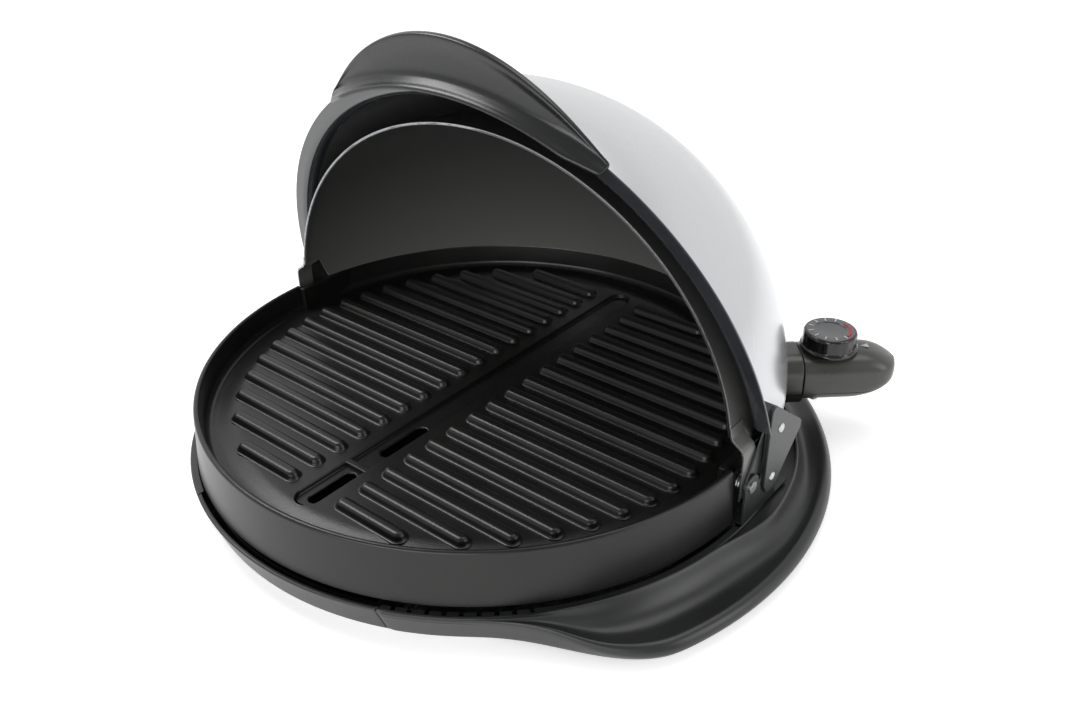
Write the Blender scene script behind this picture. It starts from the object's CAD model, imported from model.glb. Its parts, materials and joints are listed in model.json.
# %% [markdown]
# # An electric indoor grill with its roll-top lid open
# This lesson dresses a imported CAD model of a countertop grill. The CAD solids give the true places and
# sizes. Blender gives the looks: smooth skins over the main forms, and a material for every surface.
# We start by loading the fixed frame and keeping its box, because nothing we add may leave that box.

# %% Load the frame
import json
import math

import bmesh
import bpy
from mathutils import Matrix, Vector


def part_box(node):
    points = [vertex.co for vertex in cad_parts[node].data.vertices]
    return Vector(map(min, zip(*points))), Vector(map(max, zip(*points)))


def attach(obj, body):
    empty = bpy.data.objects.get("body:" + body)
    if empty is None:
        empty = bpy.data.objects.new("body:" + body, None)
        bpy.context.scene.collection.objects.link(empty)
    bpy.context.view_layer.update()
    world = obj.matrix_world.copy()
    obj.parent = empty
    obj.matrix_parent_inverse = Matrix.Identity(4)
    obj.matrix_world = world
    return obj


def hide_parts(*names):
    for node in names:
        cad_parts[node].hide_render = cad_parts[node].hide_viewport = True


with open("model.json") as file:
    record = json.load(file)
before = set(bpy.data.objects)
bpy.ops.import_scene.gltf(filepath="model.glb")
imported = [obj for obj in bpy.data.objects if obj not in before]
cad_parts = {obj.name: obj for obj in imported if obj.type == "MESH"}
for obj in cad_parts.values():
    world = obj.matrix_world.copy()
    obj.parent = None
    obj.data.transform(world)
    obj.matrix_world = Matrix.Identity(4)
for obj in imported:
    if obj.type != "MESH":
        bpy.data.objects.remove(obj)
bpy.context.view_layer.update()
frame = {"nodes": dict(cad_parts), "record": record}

MM = 0.001

# %% [markdown]
# The CAD frame has its origin in the middle of the whole box, on the table. The grill's own middle, the
# axis of the round plate, lies a little to the left of that, because the wing stands out on the right.
# Every shape below is written in millimetres from the plate's axis and the table, and `at` shifts it.

# %% Places that the whole grill shares
PLATE_R = 200.0
SKIRT_FLARE = 3.0
SHIFT_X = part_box("grill_plate")[0].x / MM + PLATE_R + SKIRT_FLARE
RIM_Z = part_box("grill_plate")[1].z / MM
PIVOT_Y = 7.0
PIVOT_Z = RIM_Z - 15.0
LID_OPEN = math.radians(78.2)


def at(x, y, z):
    """A point in metres in the frame, from millimetres counted from the plate's axis and the table."""
    return Vector(((x + SHIFT_X) * MM, y * MM, z * MM))


def smooth(t):
    """Rises from 0 to 1 with level ends."""
    t = min(1.0, max(0.0, t))
    return t * t * (3 - 2 * t)


print("plate axis at x =", round(SHIFT_X, 2), "mm, rim at z =", round(RIM_Z, 2), "mm")

# %% [markdown]
# ## Camera
# The photograph was taken from the front right and a little above. Its place and lens were worked out
# from the round rim and the evenly spaced ribs, so the camera is written as plain numbers: a direction,
# a distance from a target and a focal length. A small roll levels it as the photographer had it.

# %% Camera
AZIMUTH, ELEVATION, ROLL = (math.radians(a) for a in (39.419, 30.949, -0.762))
DISTANCE = 746.6
TARGET = at(26.5, 25.8, RIM_Z)
FOCAL_PX = 1058.72
PHOTO_WIDTH_PX = 1080
SENSOR_MM = 36.0

back = Vector((
    math.sin(AZIMUTH) * math.cos(ELEVATION),
    -math.cos(AZIMUTH) * math.cos(ELEVATION),
    math.sin(ELEVATION),
))
right = Vector((0, 0, 1)).cross(back).normalized()
up = back.cross(right)
rolled_right = math.cos(ROLL) * right + math.sin(ROLL) * up
rolled_up = -math.sin(ROLL) * right + math.cos(ROLL) * up

camera_data = bpy.data.cameras.new("camera")
camera_data.sensor_width = SENSOR_MM
camera_data.lens = SENSOR_MM * FOCAL_PX / PHOTO_WIDTH_PX
camera_data.clip_end = 20.0
camera = bpy.data.objects.new("camera", camera_data)
bpy.context.scene.collection.objects.link(camera)
turn = Matrix((rolled_right, rolled_up, back)).transposed().to_4x4()
camera.matrix_world = Matrix.Translation(TARGET + back * DISTANCE * MM) @ turn
bpy.context.scene.camera = camera
print("camera at", [round(v, 4) for v in camera.matrix_world.translation], "lens", round(camera_data.lens, 2))

# %% [markdown]
# ## Materials
# One helper adds a shader node with its settings and its inputs, where an input may be a plain value or
# the output of another node. Colours are written as the sRGB hex values that a colour picker shows, and
# one function turns them into the linear values that the renderer works with.


# %% Helpers for materials
def linear(hex_colour):
    """Linear RGBA from an sRGB hex value such as '#202122'."""
    raw = [int(hex_colour[i:i + 2], 16) / 255 for i in (1, 3, 5)]
    return tuple(v / 12.92 if v <= 0.04045 else ((v + 0.055) / 1.055) ** 2.4 for v in raw) + (1.0,)


def add(tree, kind, inputs=(), **settings):
    """Adds one node. inputs pairs a socket's name or number with a value or with another node's output."""
    node = tree.nodes.new(kind)
    for name, value in settings.items():
        setattr(node, name, value)
    for name, value in dict(inputs).items():
        if isinstance(value, bpy.types.NodeSocket):
            tree.links.new(value, node.inputs[name])
        else:
            node.inputs[name].default_value = value
    return node


def surface_of(name):
    """A new material, its node tree, and the object's own coordinates for its patterns."""
    made = bpy.data.materials.new(name)
    made.use_nodes = True
    made.node_tree.nodes.clear()
    return made, made.node_tree, add(made.node_tree, "ShaderNodeTexCoord").outputs["Object"]


def finish_with(tree, **sockets):
    """Ends a material in a principled shader. A socket's name is written with _ for a space."""
    shader = add(tree, "ShaderNodeBsdfPrincipled", {k.replace("_", " "): v for k, v in sockets.items()})
    add(tree, "ShaderNodeOutputMaterial", {"Surface": shader.outputs[0]})


def graded(tree, value, stops):
    """A colour ramp over value, with stops of (position, hex colour)."""
    ramp = add(tree, "ShaderNodeValToRGB", {"Fac": value})
    ramp.color_ramp.elements.remove(ramp.color_ramp.elements[1])
    for i, (position, colour) in enumerate(stops):
        element = ramp.color_ramp.elements[0] if i == 0 else ramp.color_ramp.elements.new(position)
        element.position = position
        element.color = linear(colour)
    return ramp.outputs["Color"]


def spread(tree, value, low, high):
    """value from 0 to 1 spread between low and high."""
    return add(tree, "ShaderNodeMapRange", {"Value": value, "To Min": low, "To Max": high}).outputs["Result"]


def noise(tree, place, size_mm, detail=3.0):
    """Noise whose blobs are about size_mm across."""
    return add(tree, "ShaderNodeTexNoise", {
        "Vector": place, "Scale": 1 / (size_mm * MM), "Detail": detail,
    }).outputs["Fac"]


def raised(tree, height, strength, depth_mm):
    """Normals of a relief that is depth_mm deep."""
    return add(tree, "ShaderNodeBump", {
        "Height": height, "Strength": strength, "Distance": depth_mm * MM,
    }).outputs["Normal"]


# %% [markdown]
# **Moulded ABS.** The base ring, the wing, the tray and the handle are black ABS from a spark-eroded
# mould. That gives a satin skin: a fine even grain, a soft broad highlight, and slightly varied gloss
# where hands and cloths have been. The true grain is 0.1 mm, too fine to show, so it is drawn at 0.8 mm.
# The handle comes from a polished mould of the same plastic, so it is blacker and has no grain.

# %% Moulded black ABS
moulded_abs, tree, place = surface_of("moulded_black_abs")
hands = noise(tree, place, 60, 4.0)
finish_with(
    tree,
    Base_Color=graded(tree, hands, [(0.3, "#1a1b1b"), (0.7, "#212222")]),
    Roughness=spread(tree, hands, 0.28, 0.40),
    IOR=1.5,
    Normal=raised(tree, noise(tree, place, 0.8), 0.08, 0.2),
)

gloss_abs, tree, place = surface_of("polished_mould_black_abs")
hands = noise(tree, place, 45, 3.0)
finish_with(
    tree,
    Base_Color=graded(tree, hands, [(0.3, "#131414"), (0.7, "#191a1a")]),
    Roughness=spread(tree, hands, 0.22, 0.31),
    IOR=1.5,
)

# %% [markdown]
# **Glass-filled nylon.** The probe and its sleeve get hot, so they are nylon with glass fibre. The fibre
# makes the black a little green-grey, and the surface a soft satin with long cloudy flow marks.

# %% Glass-filled nylon
nylon, tree, place = surface_of("glass_filled_nylon")
flow = noise(tree, place, 22, 5.0)
finish_with(
    tree,
    Base_Color=graded(tree, flow, [(0.3, "#363733"), (0.7, "#444540")]),
    Roughness=spread(tree, flow, 0.24, 0.34),
    IOR=1.53,
    Normal=raised(tree, noise(tree, place, 1.0), 0.06, 0.2),
)

# %% [markdown]
# **Polished phenolic.** The knob is thermoset plastic from a polished mould, as knobs on hot parts are.
# It is the blackest surface here, with sharp reflections and a few soft waves from shrinking.

# %% Polished black phenolic
polished_black, tree, place = surface_of("polished_black_phenolic")
waves = noise(tree, place, 14, 2.0)
finish_with(
    tree,
    Base_Color=graded(tree, waves, [(0.3, "#0b0b0c"), (0.7, "#101011")]),
    Roughness=spread(tree, waves, 0.08, 0.16),
    IOR=1.55,
    Normal=raised(tree, waves, 0.05, 0.3),
)

dial_disc, tree, place = surface_of("dark_dial_lens")
waves = noise(tree, place, 10, 2.0)
finish_with(
    tree,
    Base_Color=graded(tree, waves, [(0.3, "#26282b"), (0.7, "#313438")]),
    Roughness=spread(tree, waves, 0.10, 0.18),
    IOR=1.5,
    Coat_Weight=0.6,
    Coat_Roughness=0.05,
)

# %% [markdown]
# **Non-stick cast aluminium.** The plate is a casting with a sprayed and baked PTFE coat. PTFE has an
# unusually low index of refraction, about 1.35, and 1.42 with its black pigment. So the coat reads
# blacker than plastic, and the spray leaves a fine orange peel that breaks up the highlights on the ribs.

# %% Non-stick coating on cast aluminium
nonstick, tree, place = surface_of("nonstick_on_cast_aluminium")
clouds = noise(tree, place, 35, 5.0)
peel = noise(tree, place, 1.6, 4.0)
finish_with(
    tree,
    Base_Color=graded(tree, clouds, [(0.3, "#131313"), (0.7, "#191918")]),
    Roughness=spread(tree, clouds, 0.27, 0.33),
    IOR=1.42,
    Normal=raised(tree, peel, 0.20, 0.35),
)

# %% [markdown]
# **Lacquered shell.** The moving shell is spun steel, sprayed silver-white outside over a fine metal
# flake and coated with a dark heat-proof enamel inside. The lacquer gives a broad, milky sheen and the
# enamel a smooth semi-gloss. Steam and cleaning leave it paler near the plate than under the top of the
# dome. On the fold and the lip it is thinner and glossier, which draws a bright line along the bend.

# %% Silver-white lacquer and dark enamel
silver_lacquer, tree, place = surface_of("silver_lacquer_on_steel")
flake = noise(tree, place, 0.7, 2.0)
finish_with(
    tree,
    Base_Color=graded(tree, flake, [(0.35, "#c8cacc"), (0.65, "#cfd1d3")]),
    Metallic=0.7,
    Roughness=0.26,
    Coat_Weight=0.3,
    Coat_Roughness=0.15,
    Normal=raised(tree, flake, 0.012, 0.1),
)

dark_enamel, tree, place = surface_of("dark_enamel_on_steel")
height = add(tree, "ShaderNodeSeparateXYZ", {0: place}).outputs["Z"]
up_the_dome = add(tree, "ShaderNodeMapRange", {
    "Value": height, "From Min": RIM_Z * MM, "From Max": (RIM_Z + 175) * MM,
}).outputs["Result"]
finish_with(
    tree,
    Base_Color=graded(tree, up_the_dome, [(0.0, "#5e5f5c"), (0.35, "#4b4c4a"), (0.9, "#333433")]),
    Roughness=spread(tree, noise(tree, place, 40, 4.0), 0.27, 0.30),
    IOR=1.7,
)

fold_enamel, tree, place = surface_of("glossy_enamel_on_fold")
runs = noise(tree, place, 30, 2.0)
finish_with(
    tree,
    Base_Color=graded(tree, runs, [(0.3, "#25272a"), (0.7, "#2c2e31")]),
    Roughness=spread(tree, runs, 0.11, 0.15),
    IOR=1.8,
)

cut_edge, tree, place = surface_of("trimmed_steel_edge")
drag = noise(tree, place, 1.5, 4.0)
finish_with(
    tree,
    Base_Color=graded(tree, drag, [(0.3, "#8d8f91"), (0.7, "#b4b6b8")]),
    Metallic=1.0,
    Roughness=spread(tree, drag, 0.28, 0.42),
)

# %% [markdown]
# **Small metal parts.** Pins, screws and springs are zinc-plated steel: bright, slightly blue, with a
# cloudy plating. The hinge leaves and brackets are pressed steel under a thin semi-gloss black paint.

# %% Metals
bright_steel, tree, place = surface_of("zinc_plated_steel")
plating = noise(tree, place, 3, 4.0)
finish_with(
    tree,
    Base_Color=graded(tree, plating, [(0.3, "#b4b6b9"), (0.7, "#c9cbce")]),
    Metallic=1.0,
    Roughness=spread(tree, plating, 0.22, 0.36),
)

sheet_aluminium, tree, place = surface_of("rolled_aluminium_sheet")
rolled = add(tree, "ShaderNodeMapping", {"Vector": place, "Scale": (1.0, 0.03, 1.0)}).outputs["Vector"]
lines = noise(tree, rolled, 1.2, 5.0)
finish_with(
    tree,
    Base_Color=graded(tree, lines, [(0.3, "#b9babb"), (0.7, "#d0d1d2")]),
    Metallic=1.0,
    Roughness=spread(tree, lines, 0.30, 0.45),
    Normal=raised(tree, lines, 0.06, 0.05),
)

painted_steel, tree, place = surface_of("semi_gloss_painted_steel")
streak = noise(tree, place, 12, 5.0)
finish_with(
    tree,
    Base_Color=graded(tree, streak, [(0.3, "#1f2121"), (0.7, "#292b2b")]),
    Roughness=spread(tree, streak, 0.30, 0.42),
    IOR=1.5,
    Normal=raised(tree, noise(tree, place, 1.2), 0.08, 0.1),
)

element_steel, tree, place = surface_of("oxidised_element_tube")
scale_marks = noise(tree, place, 6, 5.0)
finish_with(
    tree,
    Base_Color=graded(tree, scale_marks, [(0.3, "#2f2b29"), (0.7, "#4a4643")]),
    Metallic=0.8,
    Roughness=spread(tree, scale_marks, 0.45, 0.65),
)

# %% [markdown]
# **Rubber, ceramic and inks.** The feet are moulded rubber with a dull, dusty skin. The terminal block
# and the thermostat's body are unglazed steatite. The dial's numbers are pad-printed in white and red.

# %% Rubber, ceramic and inks
rubber, tree, place = surface_of("moulded_rubber")
dust = noise(tree, place, 5, 5.0)
finish_with(
    tree,
    Base_Color=graded(tree, dust, [(0.3, "#191919"), (0.75, "#262625")]),
    Roughness=spread(tree, dust, 0.62, 0.80),
    IOR=1.52,
)

ceramic, tree, place = surface_of("unglazed_steatite")
chalk = noise(tree, place, 2.5, 6.0)
finish_with(
    tree,
    Base_Color=graded(tree, chalk, [(0.3, "#d8d2c4"), (0.7, "#e6e1d6")]),
    Roughness=spread(tree, chalk, 0.55, 0.75),
    IOR=1.6,
    Normal=raised(tree, chalk, 0.2, 0.1),
)

white_ink, tree, place = surface_of("white_pad_print")
cover = noise(tree, place, 0.6, 3.0)
finish_with(
    tree,
    Base_Color=graded(tree, cover, [(0.3, "#a9aaab"), (0.6, "#c6c7c8")]),
    Roughness=0.5,
)

red_ink, tree, place = surface_of("red_pad_print")
cover = noise(tree, place, 0.6, 3.0)
finish_with(
    tree,
    Base_Color=graded(tree, cover, [(0.3, "#8d1c20"), (0.6, "#b3262b")]),
    Roughness=0.45,
)

# %% [markdown]
# The CAD solids that stay visible, such as the pins, the springs and the heating element, get the
# material of their slot in the record. The solids that we replace later get one too, at no cost.

# %% Materials of the CAD solids
SLOT_MATERIALS = {
    "silver_paint": silver_lacquer,
    "black_abs": moulded_abs,
    "nonstick": nonstick,
    "black_enamel": dark_enamel,
    "dark_steel": painted_steel,
    "bright_steel": bright_steel,
    "sheet_aluminium": sheet_aluminium,
    "element_tube": element_steel,
    "black_plastic": nylon,
    "ceramic": ceramic,
    "rubber": rubber,
    "white_print": white_ink,
    "red_print": red_ink,
}
slot_of = {part["node"]: part["material_slot"] for part in frame["record"]["subparts"]}
for name, piece in frame["nodes"].items():
    piece.data.materials.clear()
    piece.data.materials.append(SLOT_MATERIALS[slot_of[name]])
print("materials:", len(bpy.data.materials), "slots:", sorted(set(slot_of.values())))

# %% [markdown]
# ## Shapes
# Most pieces are skins drawn through a row of sections, so one helper makes the points and faces of such
# a skin, and another turns a profile about an upright axis. Cuts are boolean modifiers and soft edges are
# bevels. Both are settled into the mesh at once, so that what is exported is what is seen.


# %% Helpers for shapes
def lofted(rings, wrap=False):
    """Points and faces of a skin through rings of points. wrap joins the last ring to the first."""
    n, m = len(rings[0]), len(rings)
    faces = []
    for j in range(m if wrap else m - 1):
        a, b = j * n, (j + 1) % m * n
        faces += [(a + k, a + (k + 1) % n, b + (k + 1) % n, b + k) for k in range(n)]
    if not wrap:
        faces += [tuple(reversed(range(n))), tuple((m - 1) * n + k for k in range(n))]
    return [p for ring in rings for p in ring], faces


def turned(profile, steps=192, start=0.0, stop=360.0, centre=(0.0, 0.0)):
    """A profile of (radius, height) points turned about an upright axis, angles in degrees."""
    whole = stop - start >= 360.0
    angles = [math.radians(start + (stop - start) * j / steps) for j in range(steps if whole else steps + 1)]
    rings = [
        [(centre[0] + r * math.cos(a), centre[1] + r * math.sin(a), z) for r, z in profile]
        for a in angles
    ]
    return lofted(rings, whole)


def prism(outline, low, high):
    """A flat outline of (x, y) points raised from low to high."""
    return lofted([[(x, y, z) for x, y in outline] for z in (low, high)])


def block(x0, x1, y0, y1, z0, z1):
    """A box between two corners."""
    return prism([(x0, y0), (x1, y0), (x1, y1), (x0, y1)], z0, z1)


def moved(shape, change):
    """A shape with every point (x, y, z) put through change."""
    return [change(*p) for p in shape[0]], shape[1]


def together(*shapes):
    """Several shapes as one list of points and faces."""
    points, faces = [], []
    for more_points, more_faces in shapes:
        faces += [tuple(i + len(points) for i in face) for face in more_faces]
        points += more_points
    return points, faces


def piece_of(name, shape, *finishes):
    """A mesh object from points in millimetres, with doubles merged and faces turned outward."""
    mesh = bpy.data.meshes.new(name)
    mesh.from_pydata([at(*p) for p in shape[0]], [], shape[1])
    made = bmesh.new()
    made.from_mesh(mesh)
    bmesh.ops.remove_doubles(made, verts=made.verts, dist=1e-6)
    bmesh.ops.recalc_face_normals(made, faces=made.faces)
    made.to_mesh(mesh)
    made.free()
    for finish in finishes:
        mesh.materials.append(finish)
    piece = bpy.data.objects.new(name, mesh)
    bpy.context.scene.collection.objects.link(piece)
    return piece


def settle(piece):
    """Turns a piece's modifiers into its mesh."""
    graph = bpy.context.evaluated_depsgraph_get()
    mesh = bpy.data.meshes.new_from_object(piece.evaluated_get(graph))
    old, piece.data = piece.data, mesh
    piece.modifiers.clear()
    bpy.data.meshes.remove(old)


def cut(piece, *cutters, how="DIFFERENCE", face_material=0):
    """Takes shapes out of a piece, or keeps only what is in them."""
    for i, cutter in enumerate(cutters):
        tool = piece_of(f"{piece.name}_cutter_{i}", cutter, *piece.data.materials)
        for face in tool.data.polygons:
            face.material_index = face_material
        change = piece.modifiers.new("cut", "BOOLEAN")
        change.object, change.operation, change.solver = tool, how, "EXACT"
        settle(piece)
        bpy.data.objects.remove(tool)


def merge_flats(piece, angle=0.4):
    """Joins faces that lie in one plane, so that a bevel meets clean edges."""
    made = bmesh.new()
    made.from_mesh(piece.data)
    bmesh.ops.dissolve_limit(
        made, angle_limit=math.radians(angle), verts=made.verts, edges=made.edges, delimit={"MATERIAL"},
    )
    made.to_mesh(piece.data)
    made.free()


def bevelled(piece, width, segments=2, angle=30.0):
    """Softens every edge sharper than angle, width in millimetres."""
    change = piece.modifiers.new("bevel", "BEVEL")
    change.width, change.segments = width * MM, segments
    change.limit_method, change.angle_limit = "ANGLE", math.radians(angle)
    change.use_clamp_overlap = False
    settle(piece)


def subdivided(piece, levels, creased=lambda a, b: 0.0):
    """Smooths a cage. creased gives the crease of the edge between two of the cage's points."""
    crease = piece.data.attributes.new("crease_edge", "FLOAT", "EDGE")
    for edge in piece.data.edges:
        crease.data[edge.index].value = creased(*sorted(edge.vertices))
    change = piece.modifiers.new("smooth", "SUBSURF")
    change.levels = change.render_levels = levels
    settle(piece)


def dress(piece, body, slot, *nodes, sharp=35.0):
    """Shades a piece smooth up to an angle, puts it on its body and lets it stand for CAD nodes."""
    for face in piece.data.polygons:
        face.use_smooth = True
    piece.data.set_sharp_from_angle(angle=math.radians(sharp))
    change = piece.modifiers.new("even_shading", "WEIGHTED_NORMAL")
    change.keep_sharp = True
    settle(piece)
    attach(piece, body)
    if nodes:
        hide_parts(*nodes)
    print(piece.name, "has", len(piece.data.polygons), "faces")


def arc(cx, cz, r, start, stop, n):
    """Points on an arc, angles in degrees."""
    turns = [math.radians(start + (stop - start) * i / n) for i in range(n + 1)]
    return [(cx + r * math.cos(t), cz + r * math.sin(t)) for t in turns]


def stadium(x0, x1, y, r, n=12):
    """The outline of a bar with round ends that lies along X."""
    return arc(x1, y, r, -90, 90, n) + arc(x0, y, r, 90, 270, n)


# %% [markdown]
# ## The grill plate
# The plate is one casting: a dish with a flaring skirt, a fat channel round its edge, a drain groove
# down the middle with two slots, and two rows of ribs. The dish is turned from its profile, then the
# groove, the slots and the flats for the hinges are cut and every edge is softened, as on a casting.

# %% Dish and skirt of the plate
FLOOR_Z = RIM_Z - 16.5
UNDER_Z = FLOOR_Z - 5.0
CHANNEL_Z = FLOOR_Z - 2.5
CHANNEL_R = 179.0
RIM_T = 4.0
SKIRT_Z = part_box("grill_plate")[0].z / MM
SKIRT_R = PLATE_R + SKIRT_FLARE
WALL_R = PLATE_R - RIM_T

plate_profile = [
    (0, UNDER_Z), (0, FLOOR_Z),
    *[(CHANNEL_R - 9 + 18 * i / 10, FLOOR_Z - (FLOOR_Z - CHANNEL_Z) * smooth(i / 10)) for i in range(11)],
    *arc(WALL_R - 6.6, CHANNEL_Z + 5.4, 5.4, -78, -8, 8),
    (WALL_R - 1.2, CHANNEL_Z + 8.0), (WALL_R, RIM_Z - 2.0),
    *arc(PLATE_R - 2.0, RIM_Z - 2.0, 2.0, 180, 0, 10),
    (SKIRT_R, SKIRT_Z + 1.2), *arc(SKIRT_R - 1.2, SKIRT_Z + 1.2, 1.2, 0, -90, 3),
    (SKIRT_R - 3.0, SKIRT_Z), (SKIRT_R - 3.4, SKIRT_Z + 1),
    (PLATE_R - 3, UNDER_Z - 2), (PLATE_R - 6, UNDER_Z),
]
grill_plate = piece_of("plate_skin", turned(plate_profile), nonstick)

# %% Groove, drain slots and hinge flats
GROOVE_HALF, GROOVE_DEPTH = 8.5, 3.0
GROOVE_Y = (-173.0, 168.0)
SLOT_R, SLOT_X = 4.5, 2.0
BRIDGE_Y, BRIDGE_HALF = -118.0, 12.0
FRONT_SLOT, REAR_SLOT = 36.0, 40.0
DRAIN_SLOTS = [
    (BRIDGE_Y - BRIDGE_HALF - FRONT_SLOT, BRIDGE_Y - BRIDGE_HALF),
    (BRIDGE_Y + BRIDGE_HALF, BRIDGE_Y + BRIDGE_HALF + REAR_SLOT),
]
NOTCH_X, NOTCH_Y = PLATE_R - 5.7, (-4.0, 64.0)


def along_y(x, y0, y1, r):
    """The outline of a slot with round ends that lies along Y."""
    return [(x - v, u) for u, v in stadium(y0 + r, y1 - r, 0.0, r)]


cut(
    grill_plate,
    prism(along_y(0.0, *GROOVE_Y, GROOVE_HALF), FLOOR_Z - GROOVE_DEPTH, FLOOR_Z + 1),
    *[prism(along_y(SLOT_X, *ends, SLOT_R), UNDER_Z - 1, FLOOR_Z + 1) for ends in DRAIN_SLOTS],
    block(NOTCH_X, SKIRT_R + 1, *NOTCH_Y, SKIRT_Z - 1, RIM_Z + 1),
    block(-SKIRT_R - 1, -NOTCH_X, *NOTCH_Y, SKIRT_Z - 1, RIM_Z + 1),
)
merge_flats(grill_plate)
bevelled(grill_plate, 0.9, 3)

# %% [markdown]
# A rib is a bar with a crowned top, round ends and a small fillet at its foot. Its contour at every
# height is a stadium, so a rib is a stack of stadiums, and the whole set is one loop over two rows.

# %% Ribs, bridge and hinge walls of the plate
RIB_COUNT, RIB_PITCH, RIB_FRONT_Y = 17, 19.42, -157.7
RIB_GAP, RIB_END_R = 18.8, 174.7
RIB_HALF = 5.2
RIB_LEVELS = [
    (6.4, -0.8), (6.4, -0.03), (5.7, 0.14), (5.2, 0.55), (4.85, 1.3), (4.5, 2.2), (4.05, 3.05), (3.4, 3.8),
    (2.6, 4.3), (1.7, 4.55), (0.8, 4.6),
]


def rib(y, x0, x1):
    """One rib along X, from x0 to x1 between the middles of its round ends."""
    rings = [[(x, v, FLOOR_Z + z) for x, v in stadium(x0, x1, y, r)] for r, z in RIB_LEVELS]
    return lofted(rings)


ribs = []
for k in range(RIB_COUNT):
    rib_y = RIB_FRONT_Y + RIB_PITCH * k
    reach = math.sqrt(RIB_END_R ** 2 - rib_y ** 2) - RIB_HALF
    ribs += [rib(rib_y, RIB_GAP + RIB_HALF, reach), rib(rib_y, -reach, -RIB_GAP - RIB_HALF)]

BRIDGE_BAR = (BRIDGE_Y - 9.5, BRIDGE_Y - 4.5)
bridge = block(
    -GROOVE_HALF - 1, GROOVE_HALF + 1, *BRIDGE_BAR, FLOOR_Z - GROOVE_DEPTH - 1, FLOOR_Z - 0.1,
)
flats = []
for s in (-1, 1):
    x0, x1 = sorted((s * (NOTCH_X - RIM_T), s * NOTCH_X))
    end = math.sqrt((PLATE_R - 1.2) ** 2 - NOTCH_X ** 2)
    flats.append(block(x0, x1, NOTCH_Y[0] - 2, end, UNDER_Z, RIM_Z - 0.4))
extras = piece_of("plate_extras", together(bridge, *flats), nonstick)
bevelled(extras, 0.8, 3)
rib_set = piece_of("plate_ribs", together(*ribs), nonstick)


def absorb(piece, *others):
    """Moves the meshes of other pieces into one piece."""
    made = bmesh.new()
    for source in (piece, *others):
        made.from_mesh(source.data)
    made.to_mesh(piece.data)
    made.free()
    for other in others:
        bpy.data.objects.remove(other)


absorb(grill_plate, extras, rib_set)
dress(grill_plate, "base", "nonstick", "grill_plate")

# %% [markdown]
# ## The base ring, the wing and the drip tray
# The base is a black moulding whose wall leans in towards the table. It is turned from its section, and
# opened in front for the drip tray. A row of short vent slots is cut in its top lip beside the tray.

# %% Base ring
RING_R = PLATE_R + 8.5
RING_TOP_Z, FOOT_Z = 25.0, 4.0
FOOT_WALL_R = RING_R - 6.5
FOOT_IN_R = FOOT_WALL_R - 2.5
PAN_TOP_Z = 5.5
FLANGE_IN_R = FOOT_IN_R - 12.0
TRAY_HALF, TRAY_GAP = 82.5, 0.6
VENTS, VENT_FROM, VENT_TO = 9, -64.0, -42.0
VENT_HALF, VENT_DEPTH = 1.3, 1.6
LIP_W = 5.0

ring_profile = [
    (FLANGE_IN_R, PAN_TOP_Z + 0.05), (FLANGE_IN_R, PAN_TOP_Z + 2), (FOOT_IN_R + 0.6, PAN_TOP_Z + 2),
    (RING_R - 2.5, RING_TOP_Z - 1.5), (RING_R - LIP_W, RING_TOP_Z - 1.5), (RING_R - LIP_W, RING_TOP_Z),
    *arc(RING_R - 1.2, RING_TOP_Z - 1.2, 1.2, 90, 0, 4),
    (FOOT_WALL_R, FOOT_Z + 1), (FOOT_WALL_R - 1, FOOT_Z), (FOOT_IN_R, FOOT_Z), (FOOT_IN_R, PAN_TOP_Z + 0.05),
]
base_ring = piece_of("ring_skin", turned(ring_profile), moulded_abs)


def turned_by(shape, degrees):
    """A shape turned about the plate's axis."""
    c, s = math.cos(math.radians(degrees)), math.sin(math.radians(degrees))
    return moved(shape, lambda x, y, z: (c * x - s * y, s * x + c * y, z))


vent = block(RING_R - LIP_W - 1, RING_R - 2, -VENT_HALF, VENT_HALF, RING_TOP_Z - VENT_DEPTH, RING_TOP_Z + 1)
vents = [turned_by(vent, VENT_FROM + (VENT_TO - VENT_FROM) * i / (VENTS - 1)) for i in range(VENTS)]
opening = block(-TRAY_HALF - TRAY_GAP, TRAY_HALF + TRAY_GAP, -RING_R - 1, -120, FOOT_Z - 1, RING_TOP_Z + 1)
cut(base_ring, opening, together(*vents))
merge_flats(base_ring)

PEDESTAL_IN, PEDESTAL_Y, PEDESTAL_STEPS = PLATE_R - 9.9, (-4.0, 60.0), 12
y0, y1 = PEDESTAL_Y
ys = [y0 + (y1 - y0) * i / PEDESTAL_STEPS for i in range(PEDESTAL_STEPS + 1)]
pedestals = []
for s in (-1, 1):
    rings = []
    for r, z in ((FOOT_WALL_R - 1, PAN_TOP_Z + 0.05), (RING_R - 1, RING_TOP_Z)):
        outer_side = [(s * math.sqrt(r * r - y * y), y, z) for y in ys]
        rings.append(outer_side + [(s * PEDESTAL_IN, y1, z), (s * PEDESTAL_IN, y0, z)])
    pedestals.append(lofted(rings))
pedestal_pair = piece_of("ring_pedestals", together(*pedestals), moulded_abs)

# %% [markdown]
# Beside the right hinge the wing's inner lip swings out, and a thin shelf on the ring closes the gap.

# %% Shelf beside the right hinge
def hinge_bulge(angle):
    """How far the wing's inner lip swings out round the right hinge, angle in degrees."""
    return 9 * smooth((angle + 10) / 16) * (1 - smooth((angle - 16) / 34))


def swept(section_at, start, stop, steps):
    """Sections at even steps round the plate's axis, each from section_at(angle) as (radius, height)."""
    rings = []
    for j in range(steps + 1):
        angle = start + (stop - start) * j / steps
        c, s = math.cos(math.radians(angle)), math.sin(math.radians(angle))
        rings.append([(r * c, r * s, z) for r, z in section_at(angle)])
    return rings


SHELF_FROM, SHELF_TO, SHELF_STEPS = -12.0, 52.0, 48
SHELF_LOW, SHELF_TOP, SHELF_LAP = RING_TOP_Z - 3.2, RING_TOP_Z - 2, 1.2


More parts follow.
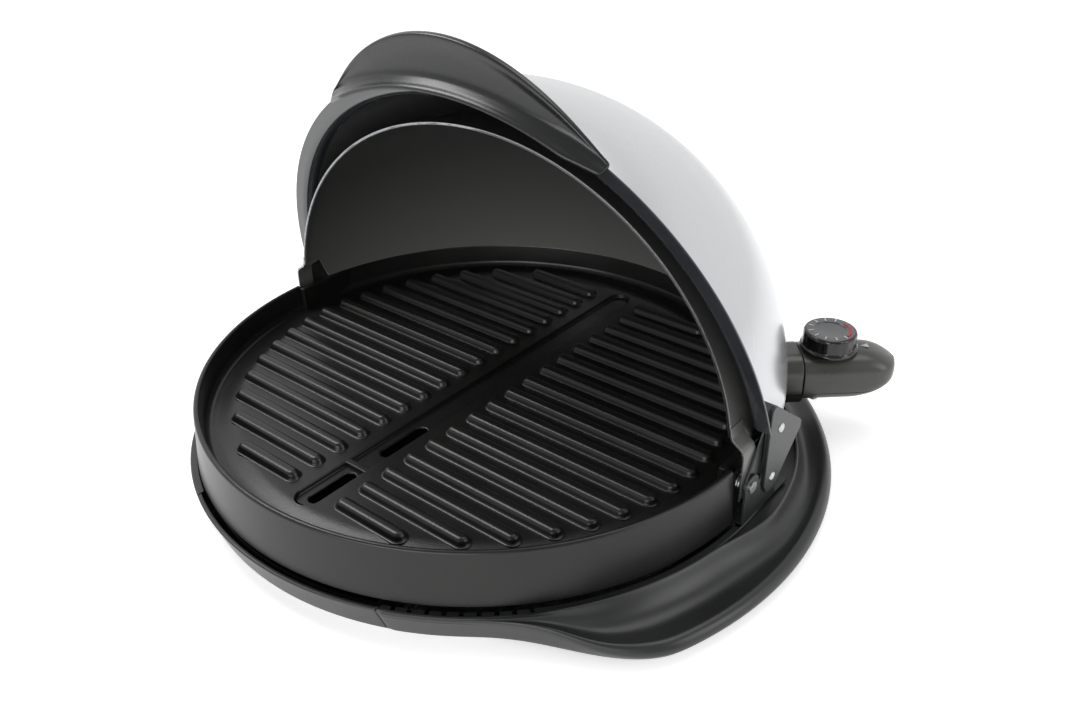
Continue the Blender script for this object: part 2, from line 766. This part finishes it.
def shelf_section(angle):
    """The shelf's section: from inside the ring's wall to under the wing's inner lip."""
    r0, r1 = RING_R - 3, RING_R + hinge_bulge(angle) + SHELF_LAP
    return [(r0, SHELF_LOW), (r0, SHELF_TOP), (r1, SHELF_TOP), (r1, SHELF_LOW)]


rings = swept(shelf_section, SHELF_FROM, SHELF_TO, SHELF_STEPS)
shelf = piece_of("ring_shelf", lofted(rings), moulded_abs)
absorb(base_ring, pedestal_pair, shelf)
bevelled(base_ring, 0.35, 2)
dress(base_ring, "base", "black_abs", "base_ring")

# %% [markdown]
# The wing is a broad dish that swells out of the ring on the right, to catch drips under the open lid
# and to carry the probe. Its section changes all the way round, so it is a cage of sections that a
# subdivision surface smooths, with creases along the inner lip and along the foot.

# %% Side wing
WING_REACH, WING_TRIM, WING_SKIN, WING_GAP = 37.5, 2.0, 0.6, 0.15
WING_FROM, WING_TO, WING_START = -56.0, 76.0, -66.0
WING_RISE, WING_FALL = 33.0, 24.0
WING_LIP_Z, WING_RIM_Z = 27.0, 15.5
WING_SECTIONS = 72


def wing_section(angle):
    """The wing's closed section at one angle in degrees, as (radius, height) points."""
    rise = smooth((angle - WING_FROM) / WING_RISE) ** 1.8
    k = rise * (1 - smooth((angle - WING_TO + WING_FALL) / WING_FALL))
    body = WING_REACH - WING_TRIM - 5.5 * math.sin(math.radians(angle))
    o = RING_R + WING_GAP + WING_SKIN + body * k
    d = RING_R + WING_GAP + WING_SKIN * 0.6 + (body - 6) * k
    i = RING_R + WING_GAP + min(hinge_bulge(angle), max(0, o - RING_R - 6))
    w = max(d - i, 0.3)
    lip = RING_TOP_Z + (WING_LIP_Z - RING_TOP_Z) * smooth(k * 3)
    rim = WING_RIM_Z + (lip - 1 - WING_RIM_Z) * (1 - smooth(k * 1.3))
    low = rim - 3.2 * k
    lean = RING_R - FOOT_WALL_R
    foot, foot_z = o - lean + (lean - 3) * k, FOOT_Z + 1
    t = min(2.5, WING_SKIN + 12 * k)
    edge_z = rim - 1.5 - 5 * k
    under_z = min(low, edge_z) - 2.5

    def ring_face(z):
        share = min(1, max(0, (z - FOOT_Z - 1) / (RING_TOP_Z - FOOT_Z - 2)))
        return FOOT_WALL_R + WING_GAP + lean * share

    return [
        (i, lip), (i + min(1.6, w * 0.3), lip), (i + w * 0.17, lip - (lip - low) * 0.5),
        (i + w * 0.34, lip - (lip - low) * 0.84), (i + w * 0.56, low),
        (i + w * 0.78, low + (rim - low) * 0.3), (i + w * 0.93, low + (rim - low) * 0.85),
        (d, rim), (d + (o - d) * 0.6, rim - 0.6 - 0.6 * k), (o, edge_z),
        (foot, foot_z), (foot - t, foot_z),
        (max(o - t - (o - foot) * (edge_z - under_z) / (edge_z - foot_z), ring_face(under_z)), under_z),
        (max(i + w * 0.56, ring_face(under_z)), under_z),
        (max(i + w * 0.25, ring_face(lip - 4)), min(lip - (lip - low) * 0.7, lip - 2) - 2 * k - 0.5),
        (max(i, ring_face(lip - 2)), lip - 1.5 - 2 * k),
    ]


def along(count, creases):
    """Creases for the edges that join the same point of two neighbouring sections of count points."""
    def crease(a, b):
        return creases.get(a % count, 0.0) if a % count == b % count else 0.0
    return crease


rings = swept(wing_section, WING_START, WING_TO, WING_SECTIONS)
side_wing = piece_of("wing_skin", lofted(rings), moulded_abs)
WING_CREASES = {0: 0.75, 1: 0.35, 9: 0.25, 10: 0.8, 11: 0.8, 15: 0.9}
subdivided(side_wing, 2, along(len(rings[0]), WING_CREASES))
dress(side_wing, "base", "black_abs", "side_wing", sharp=50)

# %% [markdown]
# The drip tray slides out in front. What shows is its curved front panel, which carries on the ring's
# wall. The panel's ends are flat, so its sections are taken at even steps across and not round the ring.
# The pan behind it is a thin moulding whose front edge follows the panel.

# %% Drip tray
TRAY_FLOOR_Z = PAN_TOP_Z + 0.6
TRAY_BOX_HALF, TRAY_BOX_TOP = TRAY_HALF - 5.0, 21.0
TRAY_REAR_Y, TRAY_WALL = -50.0, 1.8
PANEL_T, PANEL_STEPS = 3.0, 40
panel_profile = [
    (FOOT_WALL_R - PANEL_T, FOOT_Z), (RING_R - PANEL_T, RING_TOP_Z),
    *arc(RING_R - 1.2, RING_TOP_Z - 1.2, 1.2, 90, 0, 4),
    (FOOT_WALL_R, FOOT_Z + 1), (FOOT_WALL_R - 1, FOOT_Z),
]
rings = []
for j in range(PANEL_STEPS + 1):
    x = TRAY_HALF * (2 * j / PANEL_STEPS - 1)
    rings.append([(x, -math.sqrt(r * r - x * x), z) for r, z in panel_profile])
drip_tray = piece_of("tray_skin", lofted(rings), moulded_abs)
bevelled(drip_tray, 0.5, 3, 25)


def tray_outline(half, rear_y, inset, corner, n=16):
    """The pan's outline: a curved front that follows the panel, and two round rear corners."""
    front = [half * (2 * i / n - 1) for i in range(n + 1)]
    r = FOOT_WALL_R - inset
    points = [(x, -math.sqrt(r * r - x * x)) for x in front]
    points += arc(half - corner, rear_y - corner, corner, 0, 90, 6)
    return points + arc(corner - half, rear_y - corner, corner, 90, 180, 6)


outer = tray_outline(TRAY_BOX_HALF, TRAY_REAR_Y, 1.2, 6.0)
inner = tray_outline(TRAY_BOX_HALF - TRAY_WALL, TRAY_REAR_Y - TRAY_WALL, 2.8, 4.5)
pan_levels = [
    (outer, TRAY_FLOOR_Z), (outer, TRAY_BOX_TOP), (inner, TRAY_BOX_TOP), (inner, TRAY_FLOOR_Z + TRAY_WALL),
]
rings = [[(x, y, z) for x, y in line] for line, z in pan_levels]
tray_pan = piece_of("tray_pan", lofted(rings), moulded_abs)
bevelled(tray_pan, 0.4, 2, 40)
absorb(drip_tray, tray_pan)
dress(drip_tray, "tray", "black_abs", "drip_tray")

# %% [markdown]
# ## The lid
# The fixed rear shell is half a dome of thin steel. Its two front corners end in narrow straps that
# swing out over the rim and down to the hinges. Its front edge is trimmed bare metal, which draws the
# bright line that shows the dome's outline against its dark inside.

# %% Fixed rear shell
INNER_A, INNER_B, INNER_T = PLATE_R - 5.5, 168.5, 1.2
INNER_FOOT_Z = RIM_Z + 0.4
BRACKET_X, BRACKET_W, BRACKET_T = PLATE_R - 3.9, 11.4, 1.2
STRAP_T, STRAP_Y = 1.2, (0.0, 14.0)
ARM_X = BRACKET_X + BRACKET_W - BRACKET_T - 0.7 - 1.2
STRAP_X = ARM_X - 0.7 - STRAP_T
STRAP_TOP, STRAP_LOW = RIM_Z + 25.0, PIVOT_Z - 8.0


def arch(a, b, foot_z, start, n):
    """Points of a quarter ellipse from its foot to its top, from start degrees."""
    turns = [math.radians(start + (90 - start) * i / n) for i in range(n + 1)]
    return [(0.0 if i == n else a * math.cos(t), foot_z + b * math.sin(t)) for i, t in enumerate(turns)]


DOME_BANDS = 48
inner_profile = arch(INNER_A, INNER_B, INNER_FOOT_Z, 0, DOME_BANDS)
inner_profile += arch(INNER_A - INNER_T, INNER_B - INNER_T, INNER_FOOT_Z, 0, DOME_BANDS)[::-1]
rear_shell = piece_of("rear_shell_skin", turned(inner_profile, 120, 0, 180), dark_enamel, cut_edge)
corner = [(-1, RIM_Z - 1), (-1, STRAP_TOP - 6), (STRAP_Y[1] + 1, STRAP_TOP - 7), (STRAP_Y[1] + 9, RIM_Z - 1)]


def across_x(outline, x0, x1):
    """A flat outline of (y, z) points raised along X."""
    return lofted([[(x, y, z) for y, z in outline] for x in (x0, x1)])


cut(rear_shell, across_x(corner, INNER_A - 20, INNER_A + 5), across_x(corner, -INNER_A - 5, 20 - INNER_A))


def strap_outline():
    """The strap's bent section in x and z, its inner side first and then its outer side."""
    a, x, z = INNER_A - INNER_T, STRAP_X, STRAP_TOP
    inner_side = [
        (a - 1.6, z), (a - 0.6, z - 6), (a + 1.2, z - 9), (x - 4.2, z - 11.6), (x - 1.4, z - 13.6),
        (x - 0.2, z - 16.5), (x, z - 20), (x, STRAP_LOW),
    ]
    outer_side = [
        (x + STRAP_T, STRAP_LOW), (x + STRAP_T, z - 19.8), (x + 1, z - 15.6), (x - 0.6, z - 12.4),
        (x - 3.6, z - 10.2), (INNER_A + 0.9, z - 7.6), (INNER_A - 0.4, z - 5.4), (INNER_A - 1.3, z),
    ]
    return inner_side + outer_side


straps = []
for s in (-1, 1):
    straps.append(lofted([[(s * x, y, z) for x, z in strap_outline()] for y in STRAP_Y]))
strap_pair = piece_of("rear_shell_straps", together(*straps), dark_enamel, cut_edge)
bevelled(strap_pair, 0.25, 2, 60)

# %% Hem along the rear shell's front edge
HEM_T, HEM_W, HEM_STEPS = 2.0, 3.0, 96
hem_start = math.asin((STRAP_TOP - 6 - INNER_FOOT_Z) / INNER_B)
hem_section = [
    (-0.1, 0.6), (0.5, 0.0), (HEM_T - 0.6, 0.0), (HEM_T, 0.6), (HEM_T, HEM_W - 0.5), (HEM_T - 0.8, HEM_W),
    (-0.1, HEM_W),
]
rings = []
for j in range(HEM_STEPS + 1):
    t = hem_start + (math.pi - 2 * hem_start) * j / HEM_STEPS
    rings.append([
        ((INNER_A - inward) * math.cos(t), y, INNER_FOOT_Z + (INNER_B - inward) * math.sin(t))
        for inward, y in hem_section
    ])
hem = piece_of("rear_shell_hem", lofted(rings), dark_enamel, cut_edge)
absorb(rear_shell, strap_pair, hem)
for face in rear_shell.data.polygons:
    if face.normal.y < -0.6 and face.center.y < 0.6 * MM:
        face.material_index = 1
dress(rear_shell, "base", "black_enamel", "lid_inner_shell")

# %% [markdown]
# The moving shell is drawn closed, as a turned dome whose edge folds outward into a lip, and is then
# rolled open about the hinge line. The turned profile goes up the outside and down the inside, so each
# face can be told by its place: outside is silver lacquer, inside is dark enamel, and the fold and the
# lip's underside are the glossier enamel.

# %% Moving front shell
OUTER_A, OUTER_B, OUTER_T = INNER_A + 5.0, 184.0, 1.2
LIP_R, LIP_T = OUTER_A + 13.5, 1.2
DOME_Z = RIM_Z + 0.5
OUTER_BACK, CORNER_CUT_R = 10.0, 36.0
FOLD_R = 6.6


def roll(x, y, z):
    """A point of the closed lid where it is with the lid rolled open."""
    c, s = math.cos(LID_OPEN), math.sin(LID_OPEN)
    dy, dz = y - PIVOT_Y, z - PIVOT_Z
    return (x, PIVOT_Y + c * dy + s * dz, PIVOT_Z - s * dy + c * dz)


fold_z = DOME_Z + LIP_T + FOLD_R
outside = arc(OUTER_A + FOLD_R, fold_z, FOLD_R, 270, 180, 8) + arch(OUTER_A, OUTER_B, DOME_Z, 3, DOME_BANDS)
inside = arch(OUTER_A - OUTER_T, OUTER_B - OUTER_T, DOME_Z, 3, DOME_BANDS)[::-1]
inside += arc(OUTER_A + FOLD_R, fold_z, FOLD_R + OUTER_T, 180, 270, 8)
edge = [(LIP_R - 0.4, DOME_Z), (LIP_R, DOME_Z + 0.5), (LIP_R - 0.2, DOME_Z + LIP_T)]
front_shell = piece_of(
    "front_shell_skin", turned(outside + inside + edge), silver_lacquer, dark_enamel, fold_enamel,
)
for face in front_shell.data.polygons:
    spot = face.center / MM
    radius = math.hypot(spot.x - SHIFT_X, spot.y)
    in_fold = spot.z < fold_z
    if radius > OUTER_A + FOLD_R:
        dark = spot.z < DOME_Z + LIP_T - 0.1
    elif in_fold:
        dark = math.hypot(radius - OUTER_A - FOLD_R, spot.z - fold_z) > FOLD_R + OUTER_T / 2
    else:
        across, upward = radius / (OUTER_A - OUTER_T / 2), (spot.z - DOME_Z) / (OUTER_B - OUTER_T / 2)
        dark = across ** 2 + upward ** 2 < 1
    face.material_index = (2 if in_fold else 1) if dark else 0
corner_round = arc(PIVOT_Y, PIVOT_Z, CORNER_CUT_R, 0, 360, 96)[:-1]
cut(
    front_shell,
    block(-LIP_R - 1, LIP_R + 1, OUTER_BACK, LIP_R + 2, RIM_Z - 1, DOME_Z + OUTER_B + 3),
    across_x(corner_round, BRACKET_X - 20, BRACKET_X + 30),
    across_x(corner_round, -BRACKET_X - 30, 20 - BRACKET_X),
    face_material=1,
)
for vertex in front_shell.data.vertices:
    x, y, z = vertex.co / MM
    vertex.co = at(*roll(x - SHIFT_X, y, z))
dress(front_shell, "lid", "silver_paint", "lid_outer_shell", sharp=40)

# %% [markdown]
# The handle is a visor moulded onto the lip. Its section swells from nothing at either end to a broad
# overhang in the middle, with a crease where the overhang meets the apron that hides the lip. It is a
# cage of sections again, and the crease is a half-sharp line in the subdivision surface. Under the apron
# the trimmed edge of the lacquered lip shows as a thin bright line.

# %% Handle
HANDLE_HALF, HANDLE_REACH, HANDLE_RIM, APRON_H = 111.5, 30.5, 5.0, 15.0
HANDLE_SPAN = math.degrees(math.asin(HANDLE_HALF / LIP_R))
HANDLE_FLANGE = 6.0
HANDLE_SECTIONS = 64


def handle_section(angle):
    """The handle's closed section at one angle from the front in degrees, as (radius, height) points."""
    u = max(0.0, 1 - abs(angle) / HANDLE_SPAN)
    k = smooth(u ** 0.7)
    full = min(1, u * 5)
    o = LIP_R + 4.4 + (HANDLE_REACH - 4.4) * k
    t = 2.6 + (HANDLE_RIM - 2.6) * min(1, k * 1.6)
    drop = APRON_H * (0.55 + 0.45 * full)
    top = DOME_Z + LIP_T + 0.2
    crease = LIP_R + 3.6
    flange = 0.3 + (HANDLE_FLANGE - 0.3) * full
    ft = top + 0.6 + 1.2 * full
    return [
        (LIP_R + 0.2, top), (LIP_R - flange, top + 0.1), (LIP_R - flange, ft), (LIP_R + 1.2, ft),
        (LIP_R + 1.2 + (o - LIP_R - 2) * 0.4, top + (ft - top) * 0.4), (o - 0.9, top), (o, top - 0.9),
        (o, top - t + 0.9), (o - 0.9, top - t), (o - 0.9 - 2.4 * k, top - t),
        (crease + (o - crease) * 0.6, top - t * 0.62 - 0.2),
        (crease + (o - crease) * 0.3, top - t * 0.7 - 0.6),
        (crease + (o - crease) * 0.06, top - drop * 0.33), (crease - 0.4, top - drop * 0.45),
        (LIP_R + 0.9, top - drop * 0.72), (LIP_R - 0.2, top - drop), (LIP_R - 2.4, top - drop + 0.5),
        (LIP_R - 1.4, top - drop * 0.6), (LIP_R - 0.6, DOME_Z - 1.2), (LIP_R + 0.2, DOME_Z - 0.4),
    ]


rings = []
for j in range(HANDLE_SECTIONS + 1):
    angle = HANDLE_SPAN * (2 * j / HANDLE_SECTIONS - 1)
    c, s = math.cos(math.radians(angle)), math.sin(math.radians(angle))
    rings.append([roll(r * s, -r * c, z) for r, z in handle_section(angle)])
handle = piece_of("handle_skin", lofted(rings), gloss_abs, silver_lacquer)
HANDLE_POINTS = len(rings[0])
BOTTOM_EDGE = [15, 16]
for face in handle.data.polygons:
    if sorted({v % HANDLE_POINTS for v in face.vertices}) == BOTTOM_EDGE:
        face.material_index = 1
HANDLE_CREASES = {0: 0.9, 1: 0.9, 2: 0.5, 12: 0.75, 13: 0.55, 15: 0.7, 16: 0.6, 18: 0.6, 19: 0.9}
subdivided(handle, 2, along(HANDLE_POINTS, HANDLE_CREASES))
dress(handle, "lid", "black_abs", "lid_handle", sharp=60)

# %% [markdown]
# ## Hinge leaves and rivets
# Each hinge bracket is covered by a pressed leaf with rounded corners and two domed rivets.

# %% Hinge leaves and rivets
LEAF_X, LEAF_T = BRACKET_X + BRACKET_W + 0.05, 2.0
RIVET_R, RIVET_HEAD_R, RIVET_HEAD_T = 1.6, 3.2, 1.3
RIVET_AT = [(33.5, RIM_Z + 15), (28.5, RIM_Z - 19)]
LEAF_OUTLINE = [
    (19.5, -22), (19.5, 31), (20.5, 34), (23, 35.5), (26, 34.5), (60, 8), (62.5, 5), (62.5, 1), (47, -14.5),
    (35, -27.5), (30, -30), (23, -28.5),
]
rivet_profile = [(0, -2.4), (RIVET_R, -2.4), (RIVET_R, 0), (RIVET_HEAD_R, 0), (RIVET_HEAD_R - 0.1, 0.3)]
rivet_profile += [(RIVET_HEAD_R * math.cos(t), RIVET_HEAD_T * math.sin(t)) for t in (0.45, 0.8, 1.15)]
rivet_profile += [(0, RIVET_HEAD_T)]
rivets = []
for s, side in ((-1, "left"), (1, "right")):
    outline = [(y, RIM_Z + z) for y, z in LEAF_OUTLINE]
    faces_x = sorted((s * LEAF_X, s * (LEAF_X + LEAF_T)))
    through_x = sorted((s * (LEAF_X - 1), s * (LEAF_X + 4)))
    leaf = piece_of(f"leaf_skin_{side}", across_x(outline, *faces_x), painted_steel)
    holes = [arc(y, z, RIVET_R + 0.05, 0, 360, 24)[:-1] for y, z in RIVET_AT]
    cut(leaf, *[across_x(hole, *through_x) for hole in holes])
    bevelled(leaf, 0.5, 3, 50)
    dress(leaf, "base", "dark_steel", f"hinge_leaf_{side}")
    face_x = LEAF_X + LEAF_T + 0.05
    for y, z in RIVET_AT:
        rivets.append(moved(turned(rivet_profile, 32), lambda u, v, h: (s * (face_x + h), y + u, z + v)))
rivet_set = piece_of("rivet_skins", together(*rivets), bright_steel)
dress(rivet_set, "base", "bright_steel", "hinge_rivets", sharp=50)

# %% [markdown]
# ## The temperature probe
# The plug-in probe points out at the rear right. Its housing is moulded in two halves with a fine seam,
# swollen like a bar of soap. The sleeve it plugs into is part of the base.

# %% Probe housing and sleeve
PROBE_TURN = math.radians(42.0)
PROBE_Z, PROBE_W, PROBE_H = 49.0, 41.0, 36.0
SLEEVE_IN_R = PLATE_R + 5.0
PROBE_IN_R = SLEEVE_IN_R + 16.5
HOUSING_LEN, HOUSING_SIDES, HOUSING_SECTIONS = 69.0, 72, 56
PROBE_TOP, PROBE_LOW = PROBE_Z + PROBE_H / 2, PROBE_Z - PROBE_H / 2
SEAM_Z, SEAM_GAP = PROBE_Z - 9.0, 0.3


def from_probe(x, y, z):
    """A point counted along the probe's own direction, as a point of the grill."""
    c, s = math.cos(PROBE_TURN), math.sin(PROBE_TURN)
    return (c * x - s * y, s * x + c * y, z)


def housing_section(u):
    """The housing's rounded section at a share u of its length."""
    half = PROBE_W / 2 * math.sqrt(max(0.02, 1 - max(0, (u - 0.62) / 0.38) ** 3.4))
    low = PROBE_LOW + 15 * max(0, (u - 0.5) / 0.5) ** 2
    high = PROBE_TOP - 9 * max(0, (u - 0.62) / 0.38) ** 2
    ring = []
    for k in range(HOUSING_SIDES):
        t = 2 * math.pi * k / HOUSING_SIDES
        c, s = math.cos(t), math.sin(t)
        y = half * math.copysign(abs(c) ** 0.72, c)
        z = (low + high) / 2 + (high - low) / 2 * math.copysign(abs(s) ** 0.72, s)
        ring.append(from_probe(PROBE_IN_R + HOUSING_LEN * u, y, z))
    return ring


shares = [math.sin(math.pi / 2 * j / HOUSING_SECTIONS) for j in range(HOUSING_SECTIONS + 1)]
HALVES = [
    ("lower", PROBE_LOW - 1, SEAM_Z - SEAM_GAP / 2),
    ("upper", SEAM_Z + SEAM_GAP / 2, PROBE_TOP + 1),
]
for half_name, z0, z1 in HALVES:
    half = piece_of(f"housing_{half_name}_skin", lofted([housing_section(u) for u in shares]), nylon)
    room = moved(block(PROBE_IN_R - 1, PROBE_IN_R + HOUSING_LEN + 2, -PROBE_W, PROBE_W, z0, z1), from_probe)
    cut(half, room, how="INTERSECT")
    bevelled(half, 0.35, 2, 50)
    dress(half, "probe", "black_plastic", f"probe_housing_{half_name}", sharp=50)


def soft_outline(w, h, r, n=8):
    """A rectangle with round corners in y and z, counted from the probe's middle."""
    y, z = w / 2 - r, h / 2 - r
    corners = ((y, z, 0), (-y, z, 90), (-y, -z, 180), (y, -z, 270))
    return [point for cy, cz, start in corners for point in arc(cy, cz, r, start, start + 90, n)]


def tube_between(x0, x1, outer_line, inner_line, edge=0.8):
    """A hollow bar along the probe with softened outer edges."""
    def ring(line, x, shrink=0.0):
        return [from_probe(x, y * (1 - shrink), PROBE_Z + z * (1 - shrink)) for y, z in line]
    return lofted([ring(*row) for row in (
        (outer_line, x0 + edge), (outer_line, x1 - edge), (outer_line, x1 - edge * 0.3, 0.012),
        (outer_line, x1, 0.04), (inner_line, x1), (inner_line, x0), (outer_line, x0, 0.04),
        (outer_line, x0 + edge * 0.3, 0.012),
    )], True)


SLEEVE_W, SLEEVE_ROUND = PROBE_W - 1.5, 13.0
NOSE_W, NOSE_H, NOSE_ROUND = 33.0, 30.0, 9.8
nose_room = soft_outline(NOSE_W + 1.2, NOSE_H + 1.2, NOSE_ROUND + 0.6)
sleeve = piece_of("sleeve_skin", tube_between(
    SLEEVE_IN_R, PROBE_IN_R - 0.5, soft_outline(SLEEVE_W, PROBE_H, SLEEVE_ROUND), nose_room,
), nylon)
dress(sleeve, "base", "black_plastic", "probe_sleeve", sharp=50)

# %% [markdown]
# The knob is a polished black cup with very shallow scallops round its side, a lipped foot, and a dished
# dark lens on top. Its radius waves with the angle, so every ring is a formula.

# %% Knob
KNOB_X = PROBE_IN_R + 20.5
KNOB_LOW = PROBE_TOP + 0.5
LENS_R, LENS_ABOVE = 16.4, 10.0
SCALLOPS, KNOB_STEPS = 16, 192
KNOB_RINGS = [
    (19.4, 0.0, 0.0), (20.1, 0.25, 0.0), (20.4, 0.9, 0.0), (20.4, 2.0, 0.0), (19.9, 2.7, 0.0),
    (19.2, 3.2, 0.1), (18.95, 3.9, 0.3), (18.7, 11.6, 0.3), (18.5, 12.7, 0.2), (18.0, 13.5, 0.05),
    (17.4, 13.9, 0.0), (16.8, 14.0, 0.0), (11.6, 14.0, 0.0), (11.2, 13.8, 0.0), (10.9, 13.3, 0.0),
    (8.0, 13.15, 0.0), (4.0, 13.05, 0.0), (0.6, 13.0, 0.0),
]
rings = []
for radius, height, depth in KNOB_RINGS:
    ring = []
    for k in range(KNOB_STEPS):
        t = 2 * math.pi * k / KNOB_STEPS
        r = radius - depth * (0.5 - 0.5 * math.cos(SCALLOPS * t)) ** 2
        ring.append(from_probe(KNOB_X + r * math.cos(t), r * math.sin(t), KNOB_LOW + height))
    rings.append(ring)
knob = piece_of("knob_skin", lofted(rings), polished_black, dial_disc)
knob_middle = at(*from_probe(KNOB_X, 0, 0)).xy
for face in knob.data.polygons:
    from_middle = (face.center.xy - knob_middle).length
    if from_middle < LENS_R * MM and face.center.z > (KNOB_LOW + LENS_ABOVE) * MM:
        face.material_index = 1
dress(knob, "knob", "black_plastic", "temperature_knob", sharp=50)

# %% [markdown]
# ## Studio
# The photograph is a product shot on seamless white. To camera rays the floor and the world are pure
# white. Polished surfaces mirror the white backdrop too, but the ceiling and the side that the camera
# stands on are dimmer in a studio, and that is what keeps black plastic black. For the light that falls
# on the grill the world is only a fill, and large soft boxes do the lighting.

# %% Floor
FLOOR_SIZE = 12.0
FLOOR_LIFT = 0.50
FLOOR_BLOTCH_MM = 300

bpy.ops.mesh.primitive_plane_add(size=FLOOR_SIZE, location=(0, 0, 0))
floor = bpy.context.object
floor.name = "floor"


def larger(tree, a, b):
    """The larger of two values."""
    return add(tree, "ShaderNodeMath", {0: a, 1: b}, operation="MAXIMUM").outputs[0]


def times(tree, a, b):
    """One value times another."""
    return add(tree, "ShaderNodeMath", {0: a, 1: b}, operation="MULTIPLY").outputs[0]


def seen_directly(tree):
    """1 for camera, glossy and transmission rays and 0 for the rays that light things."""
    rays = add(tree, "ShaderNodeLightPath").outputs
    mirrored = larger(tree, rays["Is Glossy Ray"], rays["Is Transmission Ray"])
    return larger(tree, rays["Is Camera Ray"], mirrored)


floor_paint, tree, place = surface_of("white_studio_floor")
finish_with(
    tree,
    Base_Color=graded(tree, noise(tree, place, FLOOR_BLOTCH_MM, 2.0), [(0.3, "#f1f1f1"), (0.7, "#f3f3f3")]),
    Roughness=0.9,
    Specular_IOR_Level=0.0,
    Emission_Color=(1, 1, 1, 1),
    Emission_Strength=times(tree, seen_directly(tree), FLOOR_LIFT),
)
floor.data.materials.append(floor_paint)

# %% World
WORLD_LIGHT = 0.42
CAMERA_SIDE = (0.545, -0.838, 0.0)
CAMERA_SIDE_DIM, CEILING_DIM = 0.35, 0.55

world = bpy.data.worlds.new("studio")
bpy.context.scene.world = world
world.use_nodes = True
tree = world.node_tree
tree.nodes.clear()
way = add(tree, "ShaderNodeTexCoord").outputs["Generated"]


def dimmed(tree, value, start, stop, low):
    """Falls smoothly from 1 to low as value goes from start to stop."""
    return add(tree, "ShaderNodeMapRange", {
        "Value": value, "From Min": start, "From Max": stop, "To Min": 1.0, "To Max": low,
    }, interpolation_type="SMOOTHSTEP").outputs["Result"]


to_camera = add(
    tree, "ShaderNodeVectorMath", {0: way, 1: CAMERA_SIDE}, operation="DOT_PRODUCT",
).outputs["Value"]
height = add(tree, "ShaderNodeSeparateXYZ", {0: way}).outputs["Z"]
camera_side = dimmed(tree, to_camera, 0.0, 0.7, CAMERA_SIDE_DIM)
ceiling = dimmed(tree, height, 0.45, 0.9, CEILING_DIM)
rays = add(tree, "ShaderNodeLightPath").outputs
mirror_rays = larger(tree, rays["Is Glossy Ray"], rays["Is Transmission Ray"])
mirrored = times(tree, mirror_rays, times(tree, camera_side, ceiling))
backdrop = larger(tree, rays["Is Camera Ray"], mirrored)
add(tree, "ShaderNodeOutputWorld", {"Surface": add(tree, "ShaderNodeBackground", {
    "Color": (1, 1, 1, 1), "Strength": larger(tree, backdrop, WORLD_LIGHT),
}).outputs[0]})


# %% Soft boxes
def softbox(name, spot, aim, size, power):
    """A rectangular area lamp at spot that points at aim, sizes in metres and power in watts."""
    data = bpy.data.lights.new(name, "AREA")
    data.shape = "RECTANGLE"
    data.size, data.size_y = size
    data.energy = power
    lamp = bpy.data.objects.new(name, data)
    bpy.context.scene.collection.objects.link(lamp)
    lamp.location = spot
    lamp.rotation_euler = (Vector(aim) - Vector(spot)).to_track_quat("-Z", "Y").to_euler()


softbox("key_box", (-0.80, -0.12, 1.25), (0, 0, 0.1), (0.55, 0.70), 10)
softbox("top_box", (0.2, 0.5, 1.5), (0, 0, 0.1), (0.9, 0.7), 4.5)
softbox("right_box", (1.5, 0.3, 0.7), (0, 0, 0.15), (0.7, 1.0), 5)
softbox("front_fill", (0.35, -1.5, 0.5), (0, 0, 0.18), (1.4, 0.7), 13)
bpy.context.scene.view_settings.view_transform = "Standard"
